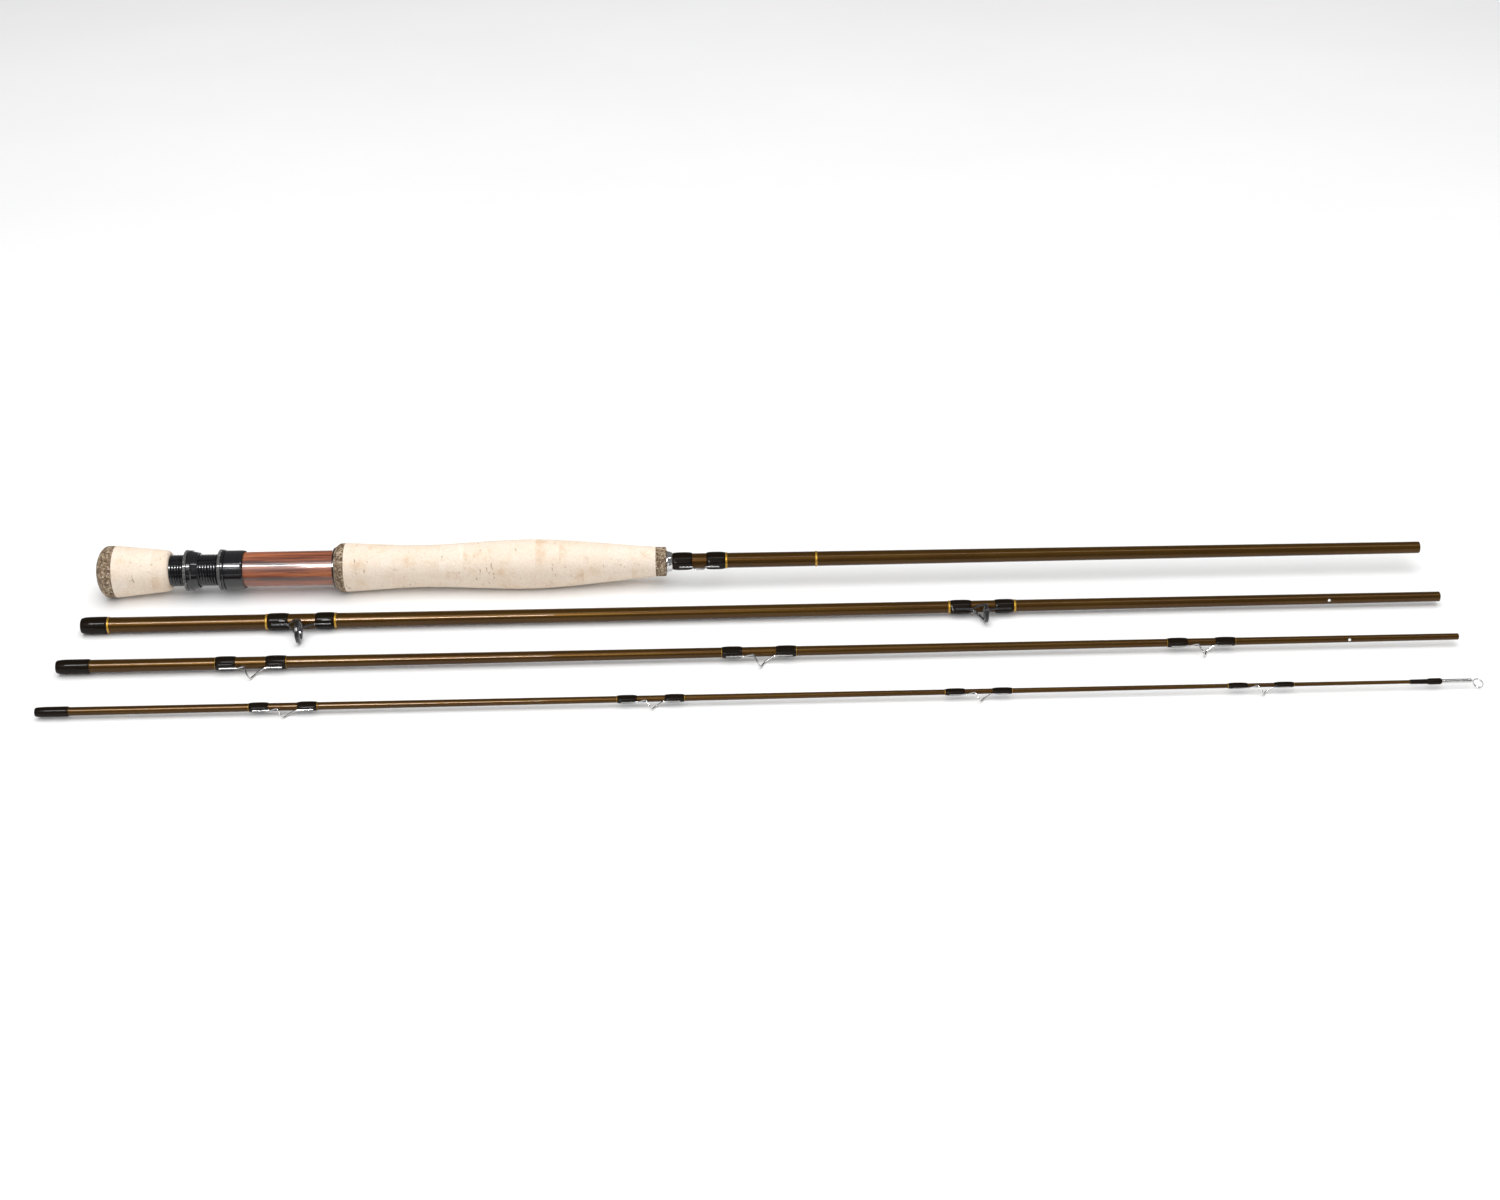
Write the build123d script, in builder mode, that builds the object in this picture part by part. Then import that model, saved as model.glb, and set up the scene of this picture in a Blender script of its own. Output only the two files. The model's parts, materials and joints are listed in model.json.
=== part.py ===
from build123d import *
import os
from math import asin, cos, degrees, radians, sin

# Four-section fly rod, its sections laid beside each other with the butt at the back.
#
# Frame: X runs from butt to tip along the rods, Y points from the tip's row to the butt's, and
# Z is up. The origin is on the floor, under the middle of the four rows. Millimetres throughout.

os.makedirs("parts", exist_ok=True)

# ---------------------------------------------------------------- driving sizes
section_length = 723.0      # every section is this long, so that all four fit one tube
row_gap = 41.5              # from one section's axis to the next
row_start = -360.25         # butt end of the butt section, left of the middle of the rows
back_row = 58.38             # the butt's axis, behind the middle of the rows
ferrule_depth = 62.0        # how far a male end goes into the next section
socket_taper = 4.0          # length over which a socket narrows to the tube's own bore
socket_step = 0.4           # how far it narrows
fit_gap = 0.03              # play left between pieces that are bonded or pushed together
running_gap = 0.08          # play of the nuts and the hood on the seat

# Butt section, along its axis from the cap
cap_radius = 14.3
cap_dome = 6.8
quarter_round = 0.5523      # handle length that makes a Bezier a quarter of an ellipse
blank_in_cap = 4.0
cap_end = 10.7
fighting_butt_end = 40.3
shoulder_radius = 11.2
barrel_start = 34.3
barrel_end = 77.0
thread_start = 41.0
thread_radius = 8.7
thread_depth = 0.5
thread_pitch = 1.5
barrel_bore = 7.5
keyway_width = 1.8
keyway_depth = 0.7
keyway_end = 79.5
keyway_angle = 62.0
flange_radius = 11.2
knurl_count = 40
knurl_radius = 0.45
insert_radius = 9.55
insert_end = 145.0
insert_bore = 7.0
hood_radius = 10.6
hood_wall = 0.6
fixed_hood_start = 129.0
fixed_hood_end = 147.0
fixed_hood_radius = 11.05
grip_start = 130.0
grip_rear_end = 135.5
grip_radius = 13.45
grip_waist_at = 175.5
grip_waist_radius = 11.6
grip_swell_at = 234.5
grip_swell_radius = 13.6
grip_cork_end = 304.3
grip_front_radius = 8.25
grip_end = 310.0
grip_ring_count = 13
check_end = 313.3
grip_wrap_end = 324.2
keeper_end = 331.9
keeper_wrap_end = 342.2
signature_band_at = 391.4

# Sections two, three and tip
ferrule_mouth = 3.5         # the blank starts this far inside the wrap's rounded end
wrap_build = 0.35           # thread and epoxy on top of the blank
band_build = 0.28
band_width = 1.1
ring_guide_rise = 8.3       # degrees that the stripping guides point up from level
snake_dip = 14.0            # degrees that the third section's guides point down
tip_dip = 15.0              # degrees that the tip section's guides point down
wire_gap = 0.02


class Section:
    """One tapered rod section on its own axis, measured along from its butt end."""

    def __init__(self, x, y, z, pitch, base_radius, end_radius, bore_end):
        self.along = Vector(cos(radians(pitch)), 0, -sin(radians(pitch)))
        self.plane = Plane(origin=(x, y, z), x_dir=self.along, z_dir=(0, -1, 0))
        self.axis = Axis(self.plane.origin, self.along)
        self.base_radius = base_radius
        self.end_radius = end_radius
        self.bore_end = bore_end

    def radius(self, at):
        """Outer radius of the blank at a place along the section."""
        share = at / section_length
        return self.base_radius + (self.end_radius - self.base_radius) * share

    def facing(self, at, dip):
        """Plane at a place on the axis: x along, y out towards the front, dip degrees down."""
        outward = self.plane.z_dir * cos(radians(dip)) - self.plane.y_dir * sin(radians(dip))
        centre = self.plane.origin + self.along * at
        return Plane(origin=centre, x_dir=self.along, z_dir=self.along.cross(outward))


butt_pitch = degrees(asin((cap_radius - grip_swell_radius) / (grip_swell_at - cap_end)))
butt = Section(row_start, back_row, cap_radius + fit_gap, butt_pitch, 5.07, 3.215, 2.0)
second = Section(row_start, back_row - row_gap, 4.68, 0, 4.32, 2.65, 1.5)
third = Section(row_start - 2.5, back_row - 2 * row_gap, 4.53, 0, 3.46, 1.68, 0.9)
tip = Section(row_start - 2.5, back_row - 3 * row_gap, 3.66, 0, 2.23, 0.84, 0.3)


# ---------------------------------------------------------------- shared shapes
def keep(shape, name):
    """Name a finished piece and write it."""
    shape.label = name
    export_step(shape, f"parts/{name}.step")


def keep_group(solids, name):
    """Write several separate solids as one named group."""
    keep(Compound(children=solids), name)


def turned(section, outline):
    """Solid of revolution on a section's axis, from (along, radius) corners."""
    with BuildPart() as body:
        with BuildSketch(section.plane):
            with BuildLine():
                Polyline(*outline, close=True)
            make_face()
        revolve(axis=section.axis)
    return body.part


def sleeve(section, start, end, build, bore_gap=fit_gap):
    """Thin sleeve wound on the blank, with softly rounded ends."""
    lip = min(0.6, (end - start) / 4)
    return turned(section, [
        (start, section.radius(start) + bore_gap),
        (end, section.radius(end) + bore_gap),
        (end, section.radius(end) + build / 2),
        (end - lip, section.radius(end) + build),
        (start + lip, section.radius(start) + build),
        (start, section.radius(start) + build / 2),
    ])


def trim_band(section, start):
    """Narrow metallic thread band beside a wrap."""
    return sleeve(section, start, start + band_width, band_build)


def round_wire(path_plane, points, radii, wire_radius):
    """Round wire along straight runs joined by tangent arcs."""
    with BuildPart() as wire:
        with BuildLine(path_plane) as route:
            FilletPolyline(*points, radius=radii)
        path = route.wire()
        with BuildSketch(Plane(origin=path @ 0, z_dir=path % 0)):
            Circle(wire_radius)
        sweep(path=path)
    return wire.part


def foot_wrap(section, start, end, foot, foot_height, foot_radius, dip):
    """Thread wrap under epoxy over a guide's foot, with the foot's room cut out of it."""
    middle = (start + end) / 2
    reach = (end - start) / 2
    hump_radius = foot_radius + 0.28
    crest = section.plane.origin + section.along * middle
    outward = section.facing(middle, dip).y_dir
    hump_axis = Axis(crest + outward * foot_height, section.along)
    hump_plane = Plane(
        origin=hump_axis.position, x_dir=section.along, z_dir=section.facing(middle, dip).z_dir
    )
    with BuildPart() as wrap:
        with BuildSketch(section.plane):
            with BuildLine():
                Polyline(
                    (start, 0),
                    (end, 0),
                    (end, section.radius(end) + wrap_build / 2),
                    (end - 0.8, section.radius(end) + wrap_build),
                    (start + 0.8, section.radius(start) + wrap_build),
                    (start, section.radius(start) + wrap_build / 2),
                    close=True,
                )
            make_face()
        revolve(axis=section.axis)
        with BuildSketch(hump_plane):
            with BuildLine():
                Polyline(
                    (-reach + 0.3, 0),
                    (-reach + 0.3, hump_radius * 0.45),
                    (-reach + 2.2, hump_radius),
                    (reach - 2.2, hump_radius),
                    (reach - 0.3, hump_radius * 0.45),
                    (reach - 0.3, 0),
                    close=True,
                )
            make_face()
        revolve(axis=hump_axis)
        with BuildSketch(section.plane):
            with BuildLine():
                Polyline(
                    (start - 1, 0),
                    (end + 1, 0),
                    (end + 1, section.radius(end) + fit_gap),
                    (start - 1, section.radius(start) + fit_gap),
                    close=True,
                )
            make_face()
        revolve(axis=section.axis, mode=Mode.SUBTRACT)
        add(foot, mode=Mode.SUBTRACT)
    return wrap.part


def blank(section, start, end, socket_mouth=None, socket_floor=None):
    """Hollow tapered tube, with a tapered socket at its butt end where it has one."""
    outline = [
        (start, section.radius(start)),
        (end - 0.3, section.radius(end)),
        (end, section.radius(end) - 0.2),
        (end, section.bore_end),
    ]
    if socket_mouth:
        outline.append((ferrule_depth + socket_taper, socket_floor - socket_step))
        outline.append((ferrule_depth, socket_floor))
        outline.append((start, socket_mouth))
    else:
        outline.append((start, section.base_radius - 1.2))
    return turned(section, outline)


def ferrule_wrap(section, end, socket_mouth):
    """Black wrap that stiffens the socket and rounds its open end."""
    top = section.base_radius + wrap_build
    wall = top - socket_mouth
    return turned(section, [
        (0, socket_mouth),
        (ferrule_mouth - fit_gap, socket_mouth),
        (ferrule_mouth - fit_gap, section.radius(ferrule_mouth) + fit_gap),
        (end, section.radius(end) + fit_gap),
        (end, section.radius(end) + wrap_build / 2),
        (end - 0.9, top),
        (5.0, top),
        (3.2, top - 0.06 * wall),
        (1.7, top - 0.20 * wall),
        (0.7, top - 0.40 * wall),
        (0.2, top - 0.58 * wall),
        (0, top - 0.78 * wall),
    ])


def snake_guide(section, left, right, foot_length, rise, spread, wire_radius, dip):
    """Bent-wire snake guide between two wraps: it swings up, crosses its top and comes back."""
    middle = (left + right) / 2
    half = (right - left) / 2
    foot = section.radius(left - foot_length) + wire_radius + wire_gap
    knee = foot + 0.25 * (rise - foot)
    side = [
        (-half - foot_length, foot, 0),
        (-half + 0.8, foot, 0),
        (-0.33 * half, knee, -spread),
        (-0.08 * half, rise, -0.45 * spread),
    ]
    points = side + [(-x, y, -z) for x, y, z in reversed(side)]
    return round_wire(
        section.facing(middle, dip), points, [1.4, 1.0, 0.8, 0.8, 1.0, 1.4], wire_radius
    )


# ---------------------------------------------------------------- butt cap and fighting butt
with BuildPart() as butt_cap:
    with BuildSketch(butt.plane):
        with BuildLine():
            dome = Bezier(
                (0, 0),
                (0, quarter_round * cap_radius),
                ((1 - quarter_round) * cap_dome, cap_radius),
                (cap_dome, cap_radius),
            )
            Polyline(
                dome @ 1,
                (cap_end, cap_radius),
                (cap_end, butt.base_radius + fit_gap),
                (cap_end - blank_in_cap, butt.base_radius + fit_gap),
                (cap_end - blank_in_cap, 0),
                dome @ 0,
            )
        make_face()
    revolve(axis=butt.axis)
keep(butt_cap.part, "butt_cap_burl_cork")


def fighting_butt_ring(start, end):
    """One cork ring of the fighting butt, tapering towards the reel seat."""
    slope = (shoulder_radius - cap_radius) / (fighting_butt_end - cap_end)
    outer_start = cap_radius + slope * (start - cap_end)
    outer_end = cap_radius + slope * (end - cap_end)
    bore = butt.base_radius + fit_gap
    pocket = thread_radius + fit_gap
    outline = [(start, bore), (start, outer_start)]
    if end == fighting_butt_end:
        outline += [(end - 2.2, outer_end + 0.15), (end - 0.8, outer_end - 0.5), (end, outer_end - 1.6)]
        outline += [(end, pocket), (barrel_start, pocket), (barrel_start, bore)]
    else:
        outline += [(end, outer_end), (end, bore)]
    return turned(butt, outline)


ring_split = (cap_end + fighting_butt_end) / 2
keep_group(
    [fighting_butt_ring(cap_end, ring_split), fighting_butt_ring(ring_split, fighting_butt_end)],
    "fighting_butt_cork_rings",
)

# ---------------------------------------------------------------- reel seat
key_plane = butt.facing(0, -keyway_angle)

with BuildPart() as seat_barrel:
    with BuildSketch(butt.plane):
        with BuildLine():
            thread = [(barrel_start, barrel_bore), (barrel_start, thread_radius)]
            turns = int((barrel_end - thread_start) / thread_pitch)
            for turn in range(turns):
                start = thread_start + turn * thread_pitch
                thread.append((start + 0.15 * thread_pitch, thread_radius))
                thread.append((start + 0.5 * thread_pitch, thread_radius - thread_depth))
                thread.append((start + 0.85 * thread_pitch, thread_radius))
            thread += [(barrel_end, thread_radius), (barrel_end, barrel_bore)]
            Polyline(*thread, close=True)
        make_face()
    revolve(axis=butt.axis)
    with BuildSketch(key_plane):
        with Locations(((barrel_start + keyway_end) / 2 + 4, thread_radius)):
            Rectangle(keyway_end - barrel_start, 2 * keyway_depth)
    extrude(amount=keyway_width / 2, both=True, mode=Mode.SUBTRACT)
keep(seat_barrel.part, "seat_barrel")

with BuildPart() as seat_insert:
    with BuildSketch(butt.plane):
        with Locations(((barrel_end + insert_end) / 2, (insert_bore + insert_radius) / 2)):
            Rectangle(insert_end - barrel_end, insert_radius - insert_bore)
    revolve(axis=butt.axis)
    with BuildSketch(key_plane):
        with Locations((keyway_end / 2, insert_radius)):
            Rectangle(keyway_end, 2 * (insert_radius - thread_radius + keyway_depth))
    extrude(amount=keyway_width / 2, both=True, mode=Mode.SUBTRACT)
keep(seat_insert.part, "seat_insert_rosewood")


def arbor(start, outer):
    """Bushing that fills the space between the blank and the seat."""
    length = 8.0
    return turned(butt, [
        (start, butt.radius(start) + fit_gap),
        (start, outer),
        (start + length, outer),
        (start + length, butt.radius(start) + fit_gap),
    ])


keep_group(
    [arbor(start, barrel_bore - fit_gap) for start in (46.0, 62.0)]
    + [arbor(start, insert_bore - fit_gap) for start in (84.0, 108.0, 134.0)],
    "seat_arbors",
)


def knurl(body_plane_at, width):
    """Cut rounded flutes around a flange, starting at a place along the butt."""
    flange_plane = Plane(
        origin=butt.plane.origin + butt.along * body_plane_at, x_dir=(0, 1, 0), z_dir=butt.along
    )
    with BuildSketch(flange_plane) as flutes:
        with PolarLocations(flange_radius + 0.2, knurl_count):
            Circle(knurl_radius)
    return extrude(flutes.sketch, amount=width, dir=butt.along)


nut_bore = thread_radius + running_gap

jam_start = 48.4
with BuildPart() as jam_nut:
    with BuildSketch(butt.plane):
        with BuildLine():
            Polyline(
                (jam_start, nut_bore),
                (jam_start, flange_radius - 0.3),
                (jam_start + 0.3, flange_radius),
                (jam_start + 1.7, flange_radius),
                (jam_start + 1.9, flange_radius - 0.35),
                (jam_start + 2.1, flange_radius - 0.1),
                (jam_start + 3.8, flange_radius - 0.1),
                (jam_start + 4.4, flange_radius - 0.8),
                (jam_start + 7.4, 9.75),
                (jam_start + 7.4, 9.4),
                (jam_start + 6.0, 9.4),
                (jam_start + 6.0, nut_bore),
                close=True,
            )
        make_face()
    revolve(axis=butt.axis)
    add(knurl(jam_start - 0.1, 1.7), mode=Mode.SUBTRACT)
keep(jam_nut.part, "jam_nut")

with BuildPart() as jam_ring:
    with BuildSketch(butt.plane):
        with Locations((jam_start + 6.85, (nut_bore + 9.35) / 2)):
            RectangleRounded(1.4, 9.35 - nut_bore, 0.2)
    revolve(axis=butt.axis)
keep(jam_ring.part, "jam_nut_o_ring")

nut_start = 66.9
nut_end = nut_start + 3.2
with BuildPart() as lock_nut:
    with BuildSketch(butt.plane):
        with BuildLine():
            Polyline(
                (nut_start, nut_bore),
                (nut_start, flange_radius - 0.3),
                (nut_start + 0.3, flange_radius),
                (nut_start + 1.7, flange_radius),
                (nut_start + 1.9, flange_radius - 0.35),
                (nut_start + 2.1, flange_radius - 0.1),
                (nut_end - 0.3, flange_radius - 0.1),
                (nut_end, flange_radius - 0.4),
                (nut_end, 9.3),
                (nut_end + 1.3, 9.3),
                (nut_end + 1.3, nut_bore),
                close=True,
            )
        make_face()
    revolve(axis=butt.axis)
    add(knurl(nut_start - 0.1, 1.7), mode=Mode.SUBTRACT)
keep(lock_nut.part, "lock_nut")

hood_start = nut_end + 0.15
hood_end = 80.6
hood_bore = hood_radius - hood_wall
with BuildPart() as slip_ring:
    with BuildSketch(butt.plane):
        with Locations((nut_end + 1.85, (nut_bore + hood_bore) / 2)):
            Rectangle(0.6, hood_bore - nut_bore - 2 * fit_gap)
    revolve(axis=butt.axis)
keep(slip_ring.part, "hood_slip_ring")

with BuildPart() as moving_hood:
    with BuildSketch(butt.plane):
        with BuildLine():
            Polyline(
                (hood_start, hood_bore),
                (hood_start, hood_radius - 0.3),
                (hood_start + 0.3, hood_radius),
                (hood_end - 1.4, hood_radius),
                (hood_end - 0.5, hood_radius - 0.15),
                (hood_end, hood_radius - 0.5),
                (hood_end - 0.1, hood_bore + 0.05),
                (hood_end - 0.5, hood_bore),
                close=True,
            )
        make_face()
    revolve(axis=butt.axis)
    with BuildSketch(key_plane):
        with Locations((nut_end + 3.3, (thread_radius - keyway_depth + hood_bore) / 2 + 0.2)):
            Rectangle(1.8, hood_bore - thread_radius + keyway_depth)
    extrude(amount=keyway_width / 2 - running_gap, both=True)
keep(moving_hood.part, "moving_hood")

with BuildPart() as fixed_hood:
    with BuildSketch(butt.plane):
        with BuildLine():
            bore = butt.base_radius + 0.4
            Polyline(
                (fixed_hood_start + 0.3, fixed_hood_radius - 0.8),
                (fixed_hood_start, fixed_hood_radius - 0.5),
                (fixed_hood_start + 0.3, fixed_hood_radius),
                (fixed_hood_end, fixed_hood_radius),
                (fixed_hood_end, bore),
                (fixed_hood_end - 1.2, bore),
                (fixed_hood_end - 1.2, fixed_hood_radius - 0.8),
                close=True,
            )
        make_face()
    revolve(axis=butt.axis)
keep(fixed_hood.part, "fixed_hood")


# ---------------------------------------------------------------- grip
def grip_part(start, end):
    """Slice of the half-wells grip between two places, bored to fit the blank."""
    pocket = fixed_hood_radius + fit_gap
    with BuildPart() as ring:
        with BuildSketch(butt.plane):
            with BuildLine():
                swell = Spline(
                    (grip_rear_end, grip_radius),
                    (grip_waist_at, grip_waist_radius),
                    (grip_swell_at, grip_swell_radius),
                    (grip_cork_end, grip_front_radius),
                    tangents=[(1, -0.045), (1, -0.075)],
                )
                Polyline(
                    swell @ 1,
                    (grip_end - 0.4, grip_front_radius - 0.1),
                    (grip_end, grip_front_radius - 0.5),
                    (grip_end, butt.radius(grip_end) + fit_gap),
                    (fixed_hood_end + fit_gap, butt.radius(fixed_hood_end) + fit_gap),
                    (fixed_hood_end + fit_gap, pocket),
                    (grip_start, pocket),
                    (grip_start, pocket + 0.25),
                    (grip_start + 2.5, grip_radius - 0.15),
                    (grip_start + 3.4, grip_radius),
                    swell @ 0,
                )
            make_face()
            with Locations(((start + end) / 2, grip_radius / 2)):
                Rectangle(end - start, 2 * grip_radius, mode=Mode.INTERSECT)
        revolve(axis=butt.axis)
    return ring.part


keep(grip_part(grip_start, grip_rear_end), "grip_rear_burl_ring")
ring_width = (grip_cork_end - grip_rear_end) / grip_ring_count
ring_starts = [grip_rear_end + ring_width * index for index in range(grip_ring_count)]
keep_group([grip_part(start, start + ring_width) for start in ring_starts], "grip_cork_rings")
keep(grip_part(grip_cork_end, grip_end), "grip_front_burl_ring")

keep(
    turned(butt, [
        (grip_end, butt.radius(grip_end) + fit_gap),
        (grip_end, 5.9),
        (grip_end + 0.8, 6.0),
        (grip_end + 1.3, 5.6),
        (grip_end + 2.6, 5.3),
        (check_end, 4.95),
        (check_end, butt.radius(check_end) + fit_gap),
    ]),
    "winding_check",
)

# ---------------------------------------------------------------- butt blank and its fittings
keep(blank(butt, cap_end - blank_in_cap + 0.2, section_length), "butt_blank")

keeper_wire = 0.45
keeper_middle = (grip_wrap_end + keeper_end) / 2
keeper_half = (keeper_end - grip_wrap_end) / 2
keeper_foot = butt.radius(keeper_middle) + keeper_wire + wire_gap
keeper_side = [(-keeper_half - 7, keeper_foot, 0), (-keeper_half + 0.4, keeper_foot, 0)]
keeper_top = [(-keeper_half + 1.6, keeper_foot + 2.1, 0), (keeper_half - 1.6, keeper_foot + 2.1, 0)]
hook_keeper = round_wire(
    butt.facing(keeper_middle, snake_dip),
    keeper_side + keeper_top + [(-x, y, z) for x, y, z in reversed(keeper_side)],
    [0.9, 0.9, 0.9, 0.9],
    keeper_wire,
)
keep(hook_keeper, "hook_keeper")
keep(
    foot_wrap(butt, check_end + 0.1, grip_wrap_end, hook_keeper, keeper_foot, keeper_wire, snake_dip),
    "grip_wrap",
)
keep(
    foot_wrap(butt, keeper_end, keeper_wrap_end, hook_keeper, keeper_foot, keeper_wire, snake_dip),
    "keeper_wrap",
)
keep_group(
    [trim_band(butt, keeper_wrap_end + 0.05), trim_band(butt, signature_band_at)],
    "butt_trim_bands",
)


# ---------------------------------------------------------------- second section
def socket_radii(parent):
    """Mouth and floor radii of the socket that takes a parent section's male end."""
    mouth = parent.radius(section_length - ferrule_depth) + fit_gap
    floor = parent.radius(section_length) + fit_gap
    return mouth, floor


second_wrap_end = 13.9
mouth, floor = socket_radii(butt)
second_tube = blank(second, ferrule_mouth, section_length, mouth, floor)
socket_end = Plane(
    origin=second.plane.origin + second.along * (ferrule_depth + socket_taper), z_dir=second.along
)
for side, name in ((Keep.BOTTOM, "second_socket"), (Keep.TOP, "second_blank")):
    with BuildPart() as length_of_tube:
        add(second_tube)
        split(bisect_by=socket_end, keep=side)
    keep(length_of_tube.part, name)
keep(ferrule_wrap(second, second_wrap_end, mouth), "second_ferrule_wrap")


def ring_guide(name, at, left, right, height, outer, thickness, hole):
    """Stripping guide: a frame with twin butt-side legs and one tip-side leg, and its ring."""
    dip = -ring_guide_rise
    seat = outer - 0.85
    lip = 0.35
    plane = second.facing(at, dip)
    ring_axis = Axis(plane.origin + plane.y_dir * height, second.along)
    hoop_plane = Plane(origin=ring_axis.position, x_dir=second.along, z_dir=plane.z_dir)
    foot_wire = 0.55
    foot = second.radius(at) + foot_wire + wire_gap
    reach = 8.5
    with BuildPart() as ceramic:
        with BuildSketch(hoop_plane):
            with BuildLine():
                half = thickness / 2 + lip
                edge = min(half - 0.6, 0.55 * (seat - hole))
                half_land = half - edge
                land = JernArc((half_land, hole), (1, 0), edge, 90)
                Polyline(
                    land @ 1,
                    (half, seat - 0.3),
                    (half - 0.2, seat - fit_gap),
                    (-half + 0.2, seat - fit_gap),
                    (-half, seat - 0.3),
                    (-half, hole + edge),
                )
                JernArc((-half_land, hole), (-1, 0), edge, -90)
                Line((-half_land, hole), (half_land, hole))
            make_face()
        revolve(axis=ring_axis)
    left_at = left - at
    right_at = right - at
    leg_paths = []
    for spread in (-1, 1):
        leg_paths.append([
            (left_at - reach, foot, 0.28 * spread),
            (left_at + 0.6, foot, 0.28 * spread),
            (0.45 * left_at, foot + 0.30 * (height - foot), 0.56 * outer * spread),
            (-0.2, height - 0.15 * outer, (outer - 0.35) * spread),
        ])
    front_leg = [
        (right_at + reach, foot, 0),
        (right_at - 0.6, foot, 0),
        (0.1, height - outer + 0.3, 0),
    ]
    legs = [round_wire(plane, path, [1.2, 1.6], foot_wire) for path in leg_paths]
    legs.append(round_wire(plane, front_leg, [1.2], foot_wire))
    with BuildPart() as frame:
        with BuildSketch(hoop_plane):
            with BuildLine():
                Polyline(
                    (-thickness / 2, seat),
                    (thickness / 2, seat),
                    (thickness / 2, outer - 0.25),
                    (thickness / 2 - 0.3, outer),
                    (-thickness / 2 + 0.3, outer),
                    (-thickness / 2, outer - 0.25),
                    close=True,
                )
            make_face()
        revolve(axis=ring_axis)
        for leg in legs:
            add(leg)
        with BuildSketch(hoop_plane):
            with Locations((0, seat / 2)):
                Rectangle(thickness + 4, seat)
        revolve(axis=ring_axis, mode=Mode.SUBTRACT)
    keep(frame.part, f"{name}_frame")
    keep(ceramic.part, f"{name}_ring")
    wraps = [
        foot_wrap(second, left - 11.0, left, frame.part, foot, foot_wire + 0.2, dip),
        foot_wrap(second, right, right + 10.0, frame.part, foot, foot_wire, dip),
    ]
    keep_group(wraps, f"{name}_wraps")
    return [left - 11.0 - band_width, right + 10.0]


band_places = [second_wrap_end + 0.1]
band_places += ring_guide("first_stripping_guide", 117.3, 109.9, 124.3, 14.0, 6.4, 1.9, 4.2)
band_places += ring_guide("second_stripping_guide", 479.6, 472.5, 485.3, 9.9, 5.0, 1.7, 3.1)
keep_group([trim_band(second, place) for place in band_places], "second_trim_bands")


# ---------------------------------------------------------------- third section and tip
def snake_row(section, name, spans, rises, spread, wire_radius, dip, wrap_length):
    """Snake guides along a section, each with its pair of foot wraps."""
    for number, (span, rise) in enumerate(zip(spans, rises), start=1):
        left, right = span
        guide = snake_guide(
            section, left, right, wrap_length - 2.0, rise, spread, wire_radius, dip
        )
        keep(guide, f"{name}_snake_guide_{number}")
        foot = section.radius(left - wrap_length + 2.0) + wire_radius + wire_gap
        wraps = [
            foot_wrap(section, left - wrap_length, left, guide, foot, wire_radius, dip),
            foot_wrap(section, right, right + wrap_length, guide, foot, wire_radius, dip),
        ]
        keep_group(wraps, f"{name}_snake_wraps_{number}")


third_wrap_end = 17.3
mouth, floor = socket_radii(second)
keep(blank(third, ferrule_mouth, section_length, mouth, floor), "third_blank")
keep(ferrule_wrap(third, third_wrap_end, mouth), "third_ferrule_wrap")
third_spans = [(92.1, 107.7), (352.5, 370.0), (582.5, 596.9)]
snake_row(third, "third", third_spans, [10.2, 9.8, 8.8], 2.9, 0.45, snake_dip, 10.4)

tip_wrap_end = 16.7
mouth, floor = socket_radii(third)
tip_blank_end = 714.0
keep(blank(tip, ferrule_mouth, tip_blank_end, mouth, floor), "tip_blank")
keep(ferrule_wrap(tip, tip_wrap_end, mouth), "tip_ferrule_wrap")
tip_spans = [(116.0, 130.4), (299.3, 313.3), (463.1, 477.0), (604.7, 618.1)]
snake_row(tip, "tip", tip_spans, [6.2, 6.1, 5.8, 5.4], 2.6, 0.35, tip_dip, 9.8)

# ---------------------------------------------------------------- tip-top
tip_top_wrap_start = 686.0
tube_start = 702.2
tube_end = 717.4
tube_radius = 1.05
loop_wire = 0.35
loop_radius = 2.55
loop_lean = 52.0            # degrees that the loop leans from upright towards the line's run
keep(
    turned(tip, [
        (tube_start, tip.radius(tube_start) + fit_gap),
        (tube_start, tube_radius),
        (tube_end - 0.5, tube_radius),
        (tube_end, tube_radius - 0.4),
        (tube_end, 0),
        (tube_end - 2.0, 0),
        (tube_end - 2.0, tip.radius(tip_blank_end) + fit_gap),
    ]),
    "tip_top_tube",
)
keep(
    turned(tip, [
        (tip_top_wrap_start, tip.radius(tip_top_wrap_start) + fit_gap),
        (tube_start - fit_gap, tip.radius(tube_start) + fit_gap),
        (tube_start - fit_gap, tube_radius + 0.1),
        (tube_start - 0.8, tube_radius + 0.55),
        (tube_start - 6.0, tube_radius + 0.55),
        (tube_start - 7.5, tip.radius(tube_start) + wrap_build),
        (tip_top_wrap_start + 0.5, tip.radius(tip_top_wrap_start) + 0.25),
    ]),
    "tip_top_wrap",
)

loop_seat = tip.facing(tube_end + fit_gap, tip_dip)
loop_out = loop_seat.y_dir * cos(radians(loop_lean)) + loop_seat.x_dir * sin(radians(loop_lean))
loop_centre = loop_seat.origin + loop_out * (loop_radius + 0.62)
loop_plane = Plane(origin=loop_centre, x_dir=loop_out, z_dir=loop_out.cross(loop_seat.z_dir))
with BuildPart() as tip_top_loop:
    with BuildSketch(Plane(origin=loop_centre, x_dir=loop_out, z_dir=loop_seat.z_dir)):
        with Locations((loop_radius, 0)):
            Circle(loop_wire)
    revolve(axis=Axis(loop_centre, loop_plane.z_dir))
keep(tip_top_loop.part, "tip_top_loop")
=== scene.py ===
import json
import math

import bpy
from mathutils import Matrix, Vector, noise


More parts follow.
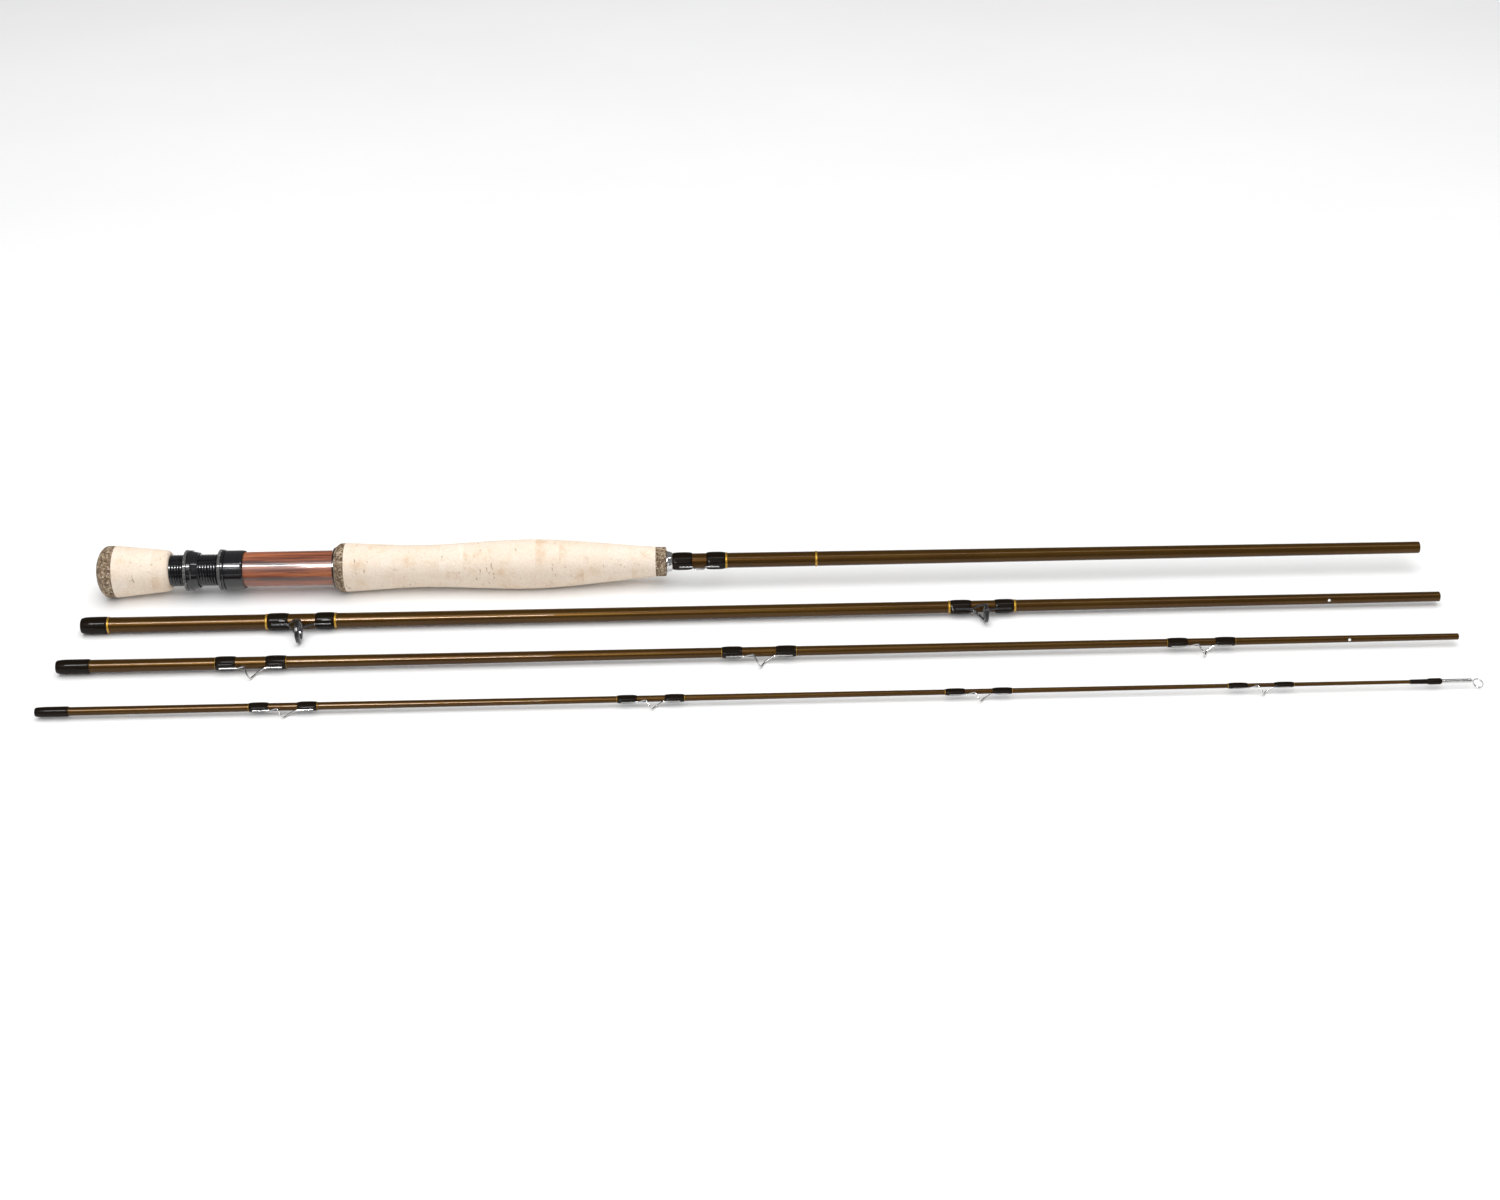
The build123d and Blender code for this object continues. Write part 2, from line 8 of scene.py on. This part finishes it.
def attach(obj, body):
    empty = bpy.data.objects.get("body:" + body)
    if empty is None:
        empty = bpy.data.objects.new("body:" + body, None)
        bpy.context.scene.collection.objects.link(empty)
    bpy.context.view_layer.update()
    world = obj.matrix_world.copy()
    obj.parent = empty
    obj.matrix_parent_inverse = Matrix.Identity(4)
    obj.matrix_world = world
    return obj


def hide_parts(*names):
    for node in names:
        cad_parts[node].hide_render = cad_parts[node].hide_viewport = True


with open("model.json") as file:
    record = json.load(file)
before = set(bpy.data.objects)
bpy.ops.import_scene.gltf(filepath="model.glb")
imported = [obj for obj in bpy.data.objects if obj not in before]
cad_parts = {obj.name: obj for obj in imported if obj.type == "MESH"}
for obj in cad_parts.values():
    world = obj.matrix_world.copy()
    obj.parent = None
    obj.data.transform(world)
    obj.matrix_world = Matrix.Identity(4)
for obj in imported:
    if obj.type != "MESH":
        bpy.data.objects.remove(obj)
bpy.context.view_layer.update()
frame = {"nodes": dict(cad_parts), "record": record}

nodes = frame["nodes"]
MM = 0.001
SECTION_LENGTH = 723.0


# ------------------------------------------------------------------ section axes (mm, as in the CAD)
class Section:
    """Axis of one rod section: places on it are mm along from its butt end."""

    def __init__(self, body, x, y, z, pitch_sine, base_radius, end_radius):
        self.body = body
        self.start = Vector((x, y, z))
        self.along = Vector((math.sqrt(1 - pitch_sine ** 2), 0, -pitch_sine))
        self.base_radius = base_radius
        self.end_radius = end_radius

    def radius(self, at):
        return self.base_radius + (self.end_radius - self.base_radius) * at / SECTION_LENGTH

    def point(self, at, radius=0.0, angle=0.0):
        """Point round the axis: angle 0 faces the front, 90 degrees is up. In metres."""
        front = Vector((0, -1, 0))
        up = front.cross(self.along) * -1
        out = front * math.cos(angle) + up * math.sin(angle)
        return (self.start + self.along * at + out * radius) * MM


BACK_ROW = 58.38
ROW_PITCH = 41.5
BUTT_PITCH_SINE = 0.7 / 223.8
LONG_PAIR_START, SHORT_PAIR_START = -360.25, -362.75
butt = Section("butt", LONG_PAIR_START, BACK_ROW, 14.33, BUTT_PITCH_SINE, 5.07, 3.215)
second = Section("second", LONG_PAIR_START, BACK_ROW - ROW_PITCH, 4.68, 0, 4.32, 2.65)
third = Section("third", SHORT_PAIR_START, BACK_ROW - 2 * ROW_PITCH, 4.53, 0, 3.46, 1.68)
tip = Section("tip", SHORT_PAIR_START, BACK_ROW - 3 * ROW_PITCH, 3.66, 0, 2.23, 0.84)


# ------------------------------------------------------------------ material kit
class Look:
    """One Principled material with helpers for its procedural nodes."""

    def __init__(self, name, **sockets):
        self.mat = bpy.data.materials.new(name)
        self.mat.use_nodes = True
        self.tree = self.mat.node_tree
        self.shader = self.tree.nodes["Principled BSDF"]
        for key, value in sockets.items():
            self.shader.inputs[key.replace("_", " ").title().replace("Ior", "IOR")].default_value = value
        coords = self.tree.nodes.new("ShaderNodeTexCoord")
        self.place = coords.outputs["Object"]

    def link(self, a, b):
        self.tree.links.new(a, b)

    def node(self, kind, **values):
        made = self.tree.nodes.new(kind)
        for key, value in values.items():
            if key in made.bl_rna.properties:
                setattr(made, key, value)
            else:
                made.inputs[key].default_value = value
        return made

    def scaled(self, x, y, z):
        """Object coordinates times a scale per axis."""
        mapping = self.node("ShaderNodeMapping")
        mapping.inputs["Scale"].default_value = (x, y, z)
        self.link(self.place, mapping.inputs["Vector"])
        return mapping.outputs["Vector"]

    def noise(self, vector, scale, detail=4.0, roughness=0.55):
        made = self.node("ShaderNodeTexNoise", Scale=scale, Detail=detail, Roughness=roughness)
        self.link(vector, made.inputs["Vector"])
        return made.outputs["Fac"]

    def cells(self, vector, scale, feature="F1"):
        made = self.node("ShaderNodeTexVoronoi", feature=feature, Scale=scale)
        self.link(vector, made.inputs["Vector"])
        return made

    def ramp(self, value, *stops):
        """Colour ramp from (position, colour) stops."""
        made = self.tree.nodes.new("ShaderNodeValToRGB")
        ramp = made.color_ramp
        ramp.elements[0].position = stops[0][0]
        ramp.elements[0].color = (*stops[0][1], 1)
        ramp.elements[1].position = stops[-1][0]
        ramp.elements[1].color = (*stops[-1][1], 1)
        for position, colour in stops[1:-1]:
            ramp.elements.new(position).color = (*colour, 1)
        self.link(value, made.inputs["Fac"])
        return made.outputs["Color"]

    def spread(self, value, low, high, to_low=0.0, to_high=1.0):
        made = self.node("ShaderNodeMapRange")
        limits = {"From Min": low, "From Max": high, "To Min": to_low, "To Max": to_high}
        for key, number in limits.items():
            made.inputs[key].default_value = number
        self.link(value, made.inputs["Value"])
        return made.outputs["Result"]

    def math(self, operation, a, b=None):
        made = self.node("ShaderNodeMath", operation=operation)
        for socket, value in zip(made.inputs, (a, b)):
            if value is None:
                continue
            if isinstance(value, (int, float)):
                socket.default_value = value
            else:
                self.link(value, socket)
        return made.outputs["Value"]

    def mix(self, factor, a, b):
        made = self.node("ShaderNodeMix", data_type="RGBA")
        for socket, value in zip((made.inputs[0], made.inputs[6], made.inputs[7]), (factor, a, b)):
            if isinstance(value, (int, float)):
                socket.default_value = value
            elif isinstance(value, tuple):
                socket.default_value = (*value, 1)
            else:
                self.link(value, socket)
        return made.outputs[2]

    def x_mm(self):
        """Distance along the rods in mm."""
        parts = self.node("ShaderNodeSeparateXYZ")
        self.link(self.place, parts.inputs["Vector"])
        return self.math("MULTIPLY", parts.outputs["X"], 1000.0)

    def colour(self, value):
        self.link(value, self.shader.inputs["Base Color"])

    def rough(self, value):
        self.link(value, self.shader.inputs["Roughness"])

    def bump(self, height, distance, strength):
        made = self.node("ShaderNodeBump", Strength=strength, Distance=distance)
        self.link(height, made.inputs["Height"])
        self.link(made.outputs["Normal"], self.shader.inputs["Normal"])


CORK_RING_START, CORK_RING_PITCH = -224.75, 12.985


def cork_look():
    """Pale sanded cork: ring-to-ring shade, cloudy grain, brown flecks and short lenticels."""
    look = Look("cork", roughness=0.78, coat_weight=0.0)
    along = look.math("ADD", look.x_mm(), -CORK_RING_START)
    ring = look.math("FLOOR", look.math("DIVIDE", along, CORK_RING_PITCH))
    tone = look.node("ShaderNodeTexWhiteNoise", noise_dimensions="1D")
    look.link(ring, tone.inputs["W"])
    shift = look.node("ShaderNodeVectorMath", operation="ADD")
    offset = look.node("ShaderNodeCombineXYZ")
    look.link(look.math("MULTIPLY", tone.outputs["Value"], 3.0), offset.inputs["Z"])
    look.link(look.place, shift.inputs[0])
    look.link(offset.outputs["Vector"], shift.inputs[1])
    moved = shift.outputs["Vector"]
    stretch = look.node("ShaderNodeVectorMath", operation="MULTIPLY")
    stretch.inputs[1].default_value = (2.6, 1.0, 1.0)
    look.link(moved, stretch.inputs[0])
    cloud = look.noise(moved, 90.0, 5.0, 0.6)
    grain = look.noise(moved, 900.0, 3.0, 0.6)
    fleck = look.noise(stretch.outputs["Vector"], 230.0, 3.0, 0.5)
    base = look.ramp(
        cloud,
        (0.28, (0.72, 0.54, 0.38)), (0.42, (0.83, 0.71, 0.58)), (0.62, (0.86, 0.76, 0.65)),
    )
    base = look.mix(look.spread(grain, 0.40, 0.62, 0.16, 0.0), base, (0.45, 0.28, 0.15))
    shade = look.spread(tone.outputs["Value"], 0.0, 1.0, 0.0, 0.16)
    base = look.mix(shade, base, (0.68, 0.48, 0.31))
    spots = look.spread(fleck, 0.675, 0.725)
    base = look.mix(look.math("MULTIPLY", spots, 0.7), base, (0.36, 0.20, 0.10))
    look.colour(base)
    height = look.math("SUBTRACT", look.math("MULTIPLY", grain, 0.35), spots)
    look.bump(height, 0.00035, 0.6)
    return look.mat


def burl_look():
    """Burl cork: packed granules of tan and brown bark with dark gaps."""
    look = Look("burl_cork", roughness=0.8)
    grain = look.cells(look.place, 950.0)
    gaps = look.cells(look.place, 950.0, "DISTANCE_TO_EDGE")
    tone = look.node("ShaderNodeSeparateColor")
    look.link(grain.outputs["Color"], tone.inputs["Color"])
    chips = look.ramp(
        tone.outputs["Red"],
        (0.0, (0.10, 0.060, 0.030)), (0.28, (0.25, 0.165, 0.095)),
        (0.62, (0.42, 0.30, 0.19)), (1.0, (0.66, 0.53, 0.38)),
    )
    fine = look.noise(look.place, 1500.0, 3.0)
    chips = look.mix(look.spread(fine, 0.42, 0.62, 0.35, 0.0), chips, (0.14, 0.10, 0.055))
    crack = look.spread(gaps.outputs["Distance"], 0.02, 0.10, 0.8, 0.0)
    look.colour(look.mix(crack, chips, (0.06, 0.035, 0.018)))
    look.bump(look.math("SUBTRACT", fine, crack), 0.0004, 0.7)
    return look.mat


def rosewood_look():
    """Lacquered red wood: long dark streaks over orange-red, under a clear coat."""
    look = Look("rosewood", roughness=0.42, coat_weight=1.0, coat_roughness=0.04)
    streaks = look.noise(look.scaled(14.0, 330.0, 330.0), 1.0, 6.0, 0.62)
    pores = look.noise(look.scaled(60.0, 1500.0, 1500.0), 1.0, 3.0, 0.5)
    broad = look.noise(look.scaled(9.0, 90.0, 90.0), 1.0, 3.0, 0.5)
    wood = look.ramp(
        streaks,
        (0.36, (0.045, 0.010, 0.004)), (0.45, (0.17, 0.040, 0.013)),
        (0.54, (0.31, 0.080, 0.026)), (0.68, (0.44, 0.15, 0.055)),
    )
    wood = look.mix(look.spread(broad, 0.40, 0.62, 0.0, 0.5), wood, (0.36, 0.10, 0.032))
    wood = look.mix(look.spread(pores, 0.60, 0.70, 0.0, 0.7), wood, (0.06, 0.012, 0.006))
    look.colour(wood)
    look.bump(pores, 0.00003, 0.15)
    return look.mat


JAM_NUT_KNURL, LOCK_NUT_KNURL, KNURL_HALF_WIDTH = -310.98, -292.48, 0.95


def anodised_look(name, *knurls):
    """Gloss black anodised aluminium with faint turning marks; the knurled bands are rougher and get a
    painted grey sheen in their colour.
    """
    look = Look(name, coat_weight=0.8, coat_roughness=0.03, specular_ior_level=0.3)
    marks = look.noise(look.scaled(5200.0, 12.0, 12.0), 1.0, 2.0)
    black = look.ramp(marks, (0.3, (0.004, 0.004, 0.005)), (0.7, (0.010, 0.010, 0.012)))
    shine = look.spread(marks, 0.3, 0.7, 0.12, 0.24)
    for at in knurls:
        middle = look.math("ABSOLUTE", look.math("SUBTRACT", look.x_mm(), at))
        band = look.spread(middle, KNURL_HALF_WIDTH - 0.15, KNURL_HALF_WIDTH, 1.0, 0.0)
        # Painted sheen: the knurled band's colour is lifted from black to grey; the rougher finish below
        # is real.
        black = look.mix(band, black, (0.055, 0.053, 0.05))
        shine = look.math("ADD", shine, look.math("MULTIPLY", band, 0.25))
    look.colour(black)
    look.rough(shine)
    look.bump(marks, 0.00002, 0.4)
    return look.mat


def lacquer_look():
    """Graphite blank under tinted lacquer: brown-gold body with a sharp clear coat."""
    look = Look("blank_lacquer", metallic=0.55, coat_weight=0.3, coat_roughness=0.02, roughness=0.3,
                specular_ior_level=0.1)
    flakes = look.noise(look.place, 5200.0, 2.0)
    depth = look.noise(look.scaled(18.0, 60.0, 60.0), 1.0, 2.0)
    body = look.ramp(depth, (0.35, (0.046, 0.018, 0.0015)), (0.65, (0.062, 0.027, 0.002)))
    body = look.mix(look.spread(flakes, 0.45, 0.70, 0.0, 0.25), body, (0.17, 0.10, 0.012))
    look.colour(body)
    look.rough(look.spread(flakes, 0.3, 0.7, 0.26, 0.34))
    return look.mat


THREAD_RADIUS = 0.11


def wrap_look(name, low, high, metallic, coat):
    """Thread wound side by side under clear epoxy, with painted shade in the grooves between turns and
    painted highlight on their crests.
    """
    look = Look(name, metallic=metallic, coat_weight=coat, coat_roughness=0.02, roughness=0.45,
                specular_ior_level=0.05)
    threads = look.math("PINGPONG", look.x_mm(), THREAD_RADIUS)
    ridge = look.spread(threads, 0.0, THREAD_RADIUS)
    fuzz = look.noise(look.place, 1800.0, 3.0)
    # Painted shade and highlight: the colour goes from low in the grooves between turns to high on the
    # crests, broken up by random fuzz.
    look.colour(look.mix(look.math("MULTIPLY", ridge, fuzz), low, high))
    look.rough(look.spread(fuzz, 0.3, 0.7, 0.36, 0.52))
    look.bump(ridge, 0.00004, 0.5)
    return look.mat


def metal_look(name, low, high, metallic, rough_low, rough_high, coat=0.0):
    """Plain metal, ceramic or plastic with fine wear in its colour and gloss."""
    look = Look(name, metallic=metallic, coat_weight=coat, coat_roughness=0.05)
    wear = look.noise(look.place, 700.0, 5.0, 0.6)
    look.colour(look.ramp(wear, (0.35, low), (0.65, high)))
    look.rough(look.spread(wear, 0.3, 0.7, rough_low, rough_high))
    look.bump(wear, 0.00002, 0.25)
    return look.mat


# Plain finishes: darker and lighter colour, metallic, lower and upper roughness, coat.
PLAIN = {
    "dark_plastic": ((0.02, 0.02, 0.02), (0.04, 0.04, 0.04), 0.0, 0.4, 0.6),
    "black_rubber": ((0.010, 0.010, 0.010), (0.022, 0.022, 0.022), 0.0, 0.55, 0.75),
    "guide_chrome": ((0.50, 0.49, 0.49), (0.66, 0.65, 0.64), 1.0, 0.10, 0.22),
    "polished_metal": ((0.62, 0.62, 0.63), (0.80, 0.80, 0.80), 1.0, 0.06, 0.14),
    "guide_black": ((0.006, 0.006, 0.007), (0.014, 0.014, 0.015), 0.2, 0.22, 0.38, 0.4),
    "guide_ceramic": ((0.06, 0.06, 0.065), (0.10, 0.10, 0.105), 0.2, 0.10, 0.18, 0.6),
    "dot_paint": ((0.80, 0.80, 0.78), (0.88, 0.88, 0.86), 0.0, 0.35, 0.5, 0.5),
}
LOOKS = {name: metal_look(name, *values) for name, values in PLAIN.items()}
LOOKS.update({
    "cork": cork_look(),
    "burl_cork": burl_look(),
    "rosewood": rosewood_look(),
    "black_anodised": anodised_look("black_anodised"),
    "blank_lacquer": lacquer_look(),
    # Wrap colours: the darker one is painted shade in the grooves between turns, the lighter one painted
    # highlight on the crests.
    "black_wrap": wrap_look("black_wrap", (0.003, 0.0015, 0.0004), (0.013, 0.006, 0.001), 0.0, 0.2),
    "gold_thread": wrap_look("gold_thread", (0.42, 0.22, 0.02), (0.80, 0.50, 0.09), 0.85, 0.5),
})
slots = {part["node"]: part["material_slot"] for part in frame["record"]["subparts"]}
for name, node in nodes.items():
    node.data.materials.clear()
    node.data.materials.append(LOOKS[slots[name]])
for name, at in (("jam_nut", JAM_NUT_KNURL), ("lock_nut", LOCK_NUT_KNURL)):
    nodes[name].data.materials.clear()
    nodes[name].data.materials.append(anodised_look(name + "_anodised", at))


# ------------------------------------------------------------------ turned pieces with their own relief
def resampled(profile, step):
    """Points every step mm along a profile of (along, radius) corners."""
    points = [Vector(profile[0])]
    for a, b in zip(profile, profile[1:]):
        a, b = Vector(a), Vector(b)
        count = max(1, round((b - a).length / step))
        points += [a.lerp(b, i / count) for i in range(1, count + 1)]
    return points


def ring_faces(first, rows, around):
    """Quads between neighbouring rings of points, starting at one vertex number."""
    faces = []
    for row in range(rows - 1):
        for i in range(around):
            j = (i + 1) % around
            a, b = first + row * around, first + (row + 1) * around
            faces.append((a + i, b + i, b + j, a + j))
    return faces


def placed(name, section, material, verts, faces, replaces=()):
    """Smooth piece that rides a section, with the record's slot and the CAD nodes it stands for."""
    mesh = bpy.data.meshes.new(name)
    mesh.from_pydata(verts, [], faces)
    mesh.shade_smooth()
    mesh.materials.append(LOOKS[material])
    piece = bpy.data.objects.new(name, mesh)
    bpy.context.scene.collection.objects.link(piece)
    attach(piece, section.body)
    if replaces:
        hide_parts(*replaces)


def turned(name, section, profile, slot, around, step, relief, replaces):
    """Surface of revolution on a section's axis; relief(point, at) is how deep it is dented, in mm."""
    points = resampled(profile, step)
    verts = []
    for at, radius in points:
        for i in range(around):
            angle = 2 * math.pi * i / around
            deep = relief(section.point(at, radius, angle) / MM, at)
            verts.append(section.point(at, max(radius - deep, 0.0), angle))
    placed(name, section, slot, verts, ring_faces(0, len(points), around), replaces)


def skin(name, section, slot, tubes, around, replaces=()):
    """Closed-round skins on a section: each tube is (places along, radius(at, angle))."""
    verts, faces = [], []
    for places, radius in tubes:
        faces += ring_faces(len(verts), len(places), around)
        for at in places:
            for i in range(around):
                angle = 2 * math.pi * i / around
                verts.append(section.point(at, radius(at, angle), angle))
    placed(name, section, slot, verts, faces, replaces)


def span(start, end, count):
    """Places from start to end, closer together near both ends."""
    return [start + (end - start) * (1 - math.cos(math.pi * i / count)) / 2 for i in range(count + 1)]


THREAD_BUILD, FOOT_COVER, WRAP_ROWS = 0.04, 0.24, 36


def epoxy_wrap(section, start, end, foot=None, wire=0.0, dip=0.0, build=0.5):
    """One thread wrap under epoxy: swollen between its ends, with a ridge over a guide's foot."""
    turn = math.radians(-dip)

    def radius(at, angle):
        share = abs(2 * (at - start) / (end - start) - 1)
        swell = math.sqrt(max(0.0, 1 - share ** 3.0))
        core = section.radius(at) + THREAD_BUILD + build * swell
        if foot is None:
            return core
        crest = foot + wire + FOOT_COVER
        width = 1.25 * (wire + 0.45) / crest
        off = (angle - turn + math.pi) % (2 * math.pi) - math.pi
        return core + (crest - core) * math.exp(-(off / width) ** 2) * min(1.0, 1.15 * swell)

    return span(start, end, WRAP_ROWS), radius


NEARBY, OUTER_SHARE = 8, 0.86


def outline(node, section, start, end, step):
    """Outer (along, radius) profile of a CAD node between two places on its section."""
    reach = {}
    for vert in nodes[node].data.vertices:
        away = vert.co / MM - section.start
        at = away.dot(section.along)
        radius = (away - section.along * at).length
        key = round(at / step)
        reach[key] = max(reach.get(key, 0.0), radius)
    keys = [k for k in sorted(reach) if start - step < k * step < end + step]
    peak = []
    for k in keys:
        nearby = max(reach[j] for j in keys if abs(j - k) * step < NEARBY)
        if reach[k] >= OUTER_SHARE * nearby:
            peak.append(k)
    return [(min(max(k * step, start), end), reach[k]) for k in peak]


def cork_relief(seams):
    """Dents of sanded cork: glue seams between rings, open pits and a soft unevenness."""
    def deep(point, at):
        seam = min(abs(at - s) for s in seams)
        groove = 0.07 * max(0.0, 1 - seam / 0.35)
        pit = noise.noise(Vector((point.x * 1.3, point.y * 0.55, point.z * 0.55)))
        hole = 0.45 * max(0.0, min(1.0, (pit - 0.50) / 0.12))
        soft = 0.05 * (noise.noise(point * 0.35) + 1)
        return groove + hole + soft + 0.03 * (noise.noise(point * 2.4) + 1)
    return deep


def burl_relief(point, at):
    """Dents of burl cork: granules with gaps between them."""
    return 0.10 * (noise.noise(point * 1.1) + 1) + 0.10 * (noise.noise(point * 2.9) + 1)


CAP_END, BUTT_SPLIT, FIGHTING_END = 10.7, 25.5, 40.3
GRIP_START, CORK_START, CORK_END, GRIP_END = 130.0, 135.5, 304.3, 310.0
RINGS = 13
fighting = [(CAP_END, 14.3), (38.1, 11.38), (39.5, 10.7), (FIGHTING_END, 9.6), (FIGHTING_END, 8.8)]
turned("fighting_butt_cork", butt, fighting, "cork", 220, 0.4,
       cork_relief([CAP_END, BUTT_SPLIT]), ["fighting_butt_cork_rings"])

dome = [(6.8 * (1 - math.cos(a)), 14.3 * math.sin(a)) for a in [math.pi / 2 * i / 14 for i in range(15)]]
turned("butt_cap_burl", butt, dome + [(CAP_END, 14.3)], "burl_cork", 180, 0.45, burl_relief,
       ["butt_cap_burl_cork"])

seams = [CORK_START + (CORK_END - CORK_START) * i / RINGS for i in range(RINGS + 1)]
grip = outline("grip_cork_rings", butt, CORK_START, CORK_END, 0.5)
turned("grip_cork", butt, grip, "cork", 220, 0.45, cork_relief(seams), ["grip_cork_rings"])
rear = [(GRIP_START, 11.1), (GRIP_START, 11.35), (GRIP_START + 2.5, 13.3), (GRIP_START + 3.4, 13.45),
        (CORK_START, 13.45)]
turned("grip_rear_burl", butt, rear, "burl_cork", 180, 0.45, burl_relief, ["grip_rear_burl_ring"])
front = [(CORK_END, 8.25), (GRIP_END - 0.4, 8.15), (GRIP_END, 7.75), (GRIP_END, 5.0)]
turned("grip_front_burl", butt, front, "burl_cork", 140, 0.4, burl_relief, ["grip_front_burl_ring"])

# Thread wraps: each pair holds one guide's feet under smooth epoxy.
KEEPER_FOOT = butt.radius(328.05) + 0.47
KEEPER_WIRE, KEEPER_DIP, KEEPER_BUILD = 0.45, 14.0, 0.62
for name, start, end in (("grip_wrap", 313.4, 324.2), ("keeper_wrap", 331.9, 342.2)):
    tube = epoxy_wrap(butt, start, end, KEEPER_FOOT, KEEPER_WIRE, KEEPER_DIP, KEEPER_BUILD)
    skin(f"{name}_epoxy", butt, "black_wrap", [tube], 64, [name])

STRIPPING_DIP = -8.3
LEFT_WRAP, RIGHT_WRAP = 11.0, 10.0
LEFT_FOOT, RIGHT_FOOT = 0.75, 0.55
for name, at, left, right in (("first_stripping_guide", 117.3, 109.9, 124.3),
                              ("second_stripping_guide", 479.6, 472.5, 485.3)):
    foot = second.radius(at) + 0.57
    skin(f"{name}_epoxy", second, "black_wrap",
         [epoxy_wrap(second, left - LEFT_WRAP, left, foot, LEFT_FOOT, STRIPPING_DIP),
          epoxy_wrap(second, right, right + RIGHT_WRAP, foot, RIGHT_FOOT, STRIPPING_DIP)],
         64, [f"{name}_wraps"])

SNAKE_BUILD = 0.45
TIPPING_WIDTH, TIPPING_BUILD = 0.22, 0.12
THIRD_SPANS = [(92.1, 107.7), (352.5, 370.0), (582.5, 596.9)]
TIP_SPANS = [(116.0, 130.4), (299.3, 313.3), (463.1, 477.0), (604.7, 618.1)]
for key, section, spans, length, wire, dip in (("third", third, THIRD_SPANS, 10.4, 0.45, 14.0),
                                               ("tip", tip, TIP_SPANS, 9.8, 0.35, 15.0)):
    tipping = []
    for number, (left, right) in enumerate(spans, start=1):
        foot = section.radius(left - length + 2.0) + wire + 0.02
        skin(f"{key}_snake_epoxy_{number}", section, "black_wrap",
             [epoxy_wrap(section, left - length, left, foot, wire, dip, SNAKE_BUILD),
              epoxy_wrap(section, right, right + length, foot, wire, dip, SNAKE_BUILD)],
             56, [f"{key}_snake_wraps_{number}"])
        for start in (left - length - 0.15, right + length - 0.08):
            tipping.append(epoxy_wrap(section, start, start + TIPPING_WIDTH, build=TIPPING_BUILD))
    skin(f"{key}_gold_tipping", section, "gold_thread", tipping, 48)

# White dots that line the sections up when they are pushed together, on the side with the guides.
DOT_ANGLE = math.radians(-12)
DOT_RADIUS, DOT_BUILD, DOT_RINGS, DOT_AROUND = 0.75, 0.05, 5, 20
for name, section, at in (("second_dot", second, 663.4), ("third_dot", third, 666.2)):
    verts = []
    for ring in range(DOT_RINGS):
        share = ring / (DOT_RINGS - 1)
        for i in range(DOT_AROUND):
            turn = 2 * math.pi * i / DOT_AROUND
            across = DOT_RADIUS * share * math.sin(turn)
            along = at + DOT_RADIUS * share * math.cos(turn)
            radius = section.radius(at)
            lift = DOT_BUILD * (1 - share ** 2)
            verts.append(section.point(along, radius + lift, DOT_ANGLE + across / radius))
    placed(name, section, "dot_paint", verts, ring_faces(0, DOT_RINGS, DOT_AROUND))


# ------------------------------------------------------------------ floor, light and camera
FLOOR_REACH, FLOOR_HEIGHT = 6.0, -0.0002
CORNERS = [(-1, -1), (1, -1), (1, 1), (-1, 1)]
floor_mesh = bpy.data.meshes.new("floor")
floor_mesh.from_pydata([(FLOOR_REACH * x, FLOOR_REACH * y, FLOOR_HEIGHT) for x, y in CORNERS],
                       [], [(0, 1, 2, 3)])
floor = bpy.data.objects.new("floor", floor_mesh)
bpy.context.scene.collection.objects.link(floor)
paper = Look("floor_paper", roughness=0.9, specular_ior_level=0.1)
mottle = paper.noise(paper.place, 3.0)
paper.colour(paper.ramp(mottle, (0.3, (0.87, 0.87, 0.87)), (0.7, (0.90, 0.90, 0.90))))
floor_mesh.materials.append(paper.mat)

world = bpy.data.worlds.new("studio")
world.use_nodes = True
world.node_tree.nodes["Background"].inputs["Color"].default_value = (1, 1, 1, 1)
world.node_tree.nodes["Background"].inputs["Strength"].default_value = 0.2
bpy.context.scene.world = world
bpy.context.scene.view_settings.view_transform = "Standard"


def softbox(name, place, target, size_x, size_y, power, glossy=True, diffuse=True):
    """Rectangular area light aimed at a point."""
    data = bpy.data.lights.new(name, "AREA")
    data.shape = "RECTANGLE"
    data.size, data.size_y = size_x, size_y
    data.energy = power
    lamp = bpy.data.objects.new(name, data)
    lamp.location = place
    lamp.rotation_mode = "QUATERNION"
    lamp.rotation_quaternion = (Vector(target) - Vector(place)).to_track_quat("-Z", "Y")
    lamp.visible_glossy = glossy
    lamp.visible_diffuse = diffuse
    bpy.context.scene.collection.objects.link(lamp)


# Narrow lights seen only as highlights, then wide ones that only light the matt surfaces.
softbox("seat_strip", (-0.78, -1.25, 1.60), (-0.27, 0, 0), 0.60, 0.18, 18, diffuse=False)
softbox("front_window", (-0.465, -1.63, 1.32), (-0.17, 0, 0), 0.38, 0.14, 22, diffuse=False)
softbox("long_strip", (0.2, -0.75, 1.95), (0, 0, 0), 2.6, 0.14, 11, diffuse=False)
softbox("wide_top", (0, 0.2, 2.5), (0, 0, 0), 3.6, 3.0, 72, glossy=False)
softbox("wide_front", (0, -2.0, 1.9), (0, 0, 0), 3.2, 2.0, 52, glossy=False)

camera_data = bpy.data.cameras.new("camera")
camera = bpy.data.objects.new("camera", camera_data)
bpy.context.scene.collection.objects.link(camera)
camera_data.sensor_width = 36.0
camera_data.lens = 51.6
yaw, tilt, roll = math.radians(0.59), math.radians(29.75), math.radians(-0.95)
ahead = Vector((math.sin(yaw) * math.cos(tilt), math.cos(yaw) * math.cos(tilt), -math.sin(tilt)))
right = Vector((math.cos(yaw), -math.sin(yaw), 0))
above = right.cross(ahead)
right, above = (right * math.cos(roll) + above * math.sin(roll),
                above * math.cos(roll) - right * math.sin(roll))
camera.rotation_mode = "QUATERNION"
camera.rotation_quaternion = Matrix((right, above, -ahead)).transposed().to_quaternion()
camera.location = (-0.0155, -0.974, 0.578)
camera_data.clip_start = 0.01
bpy.context.scene.camera = camera
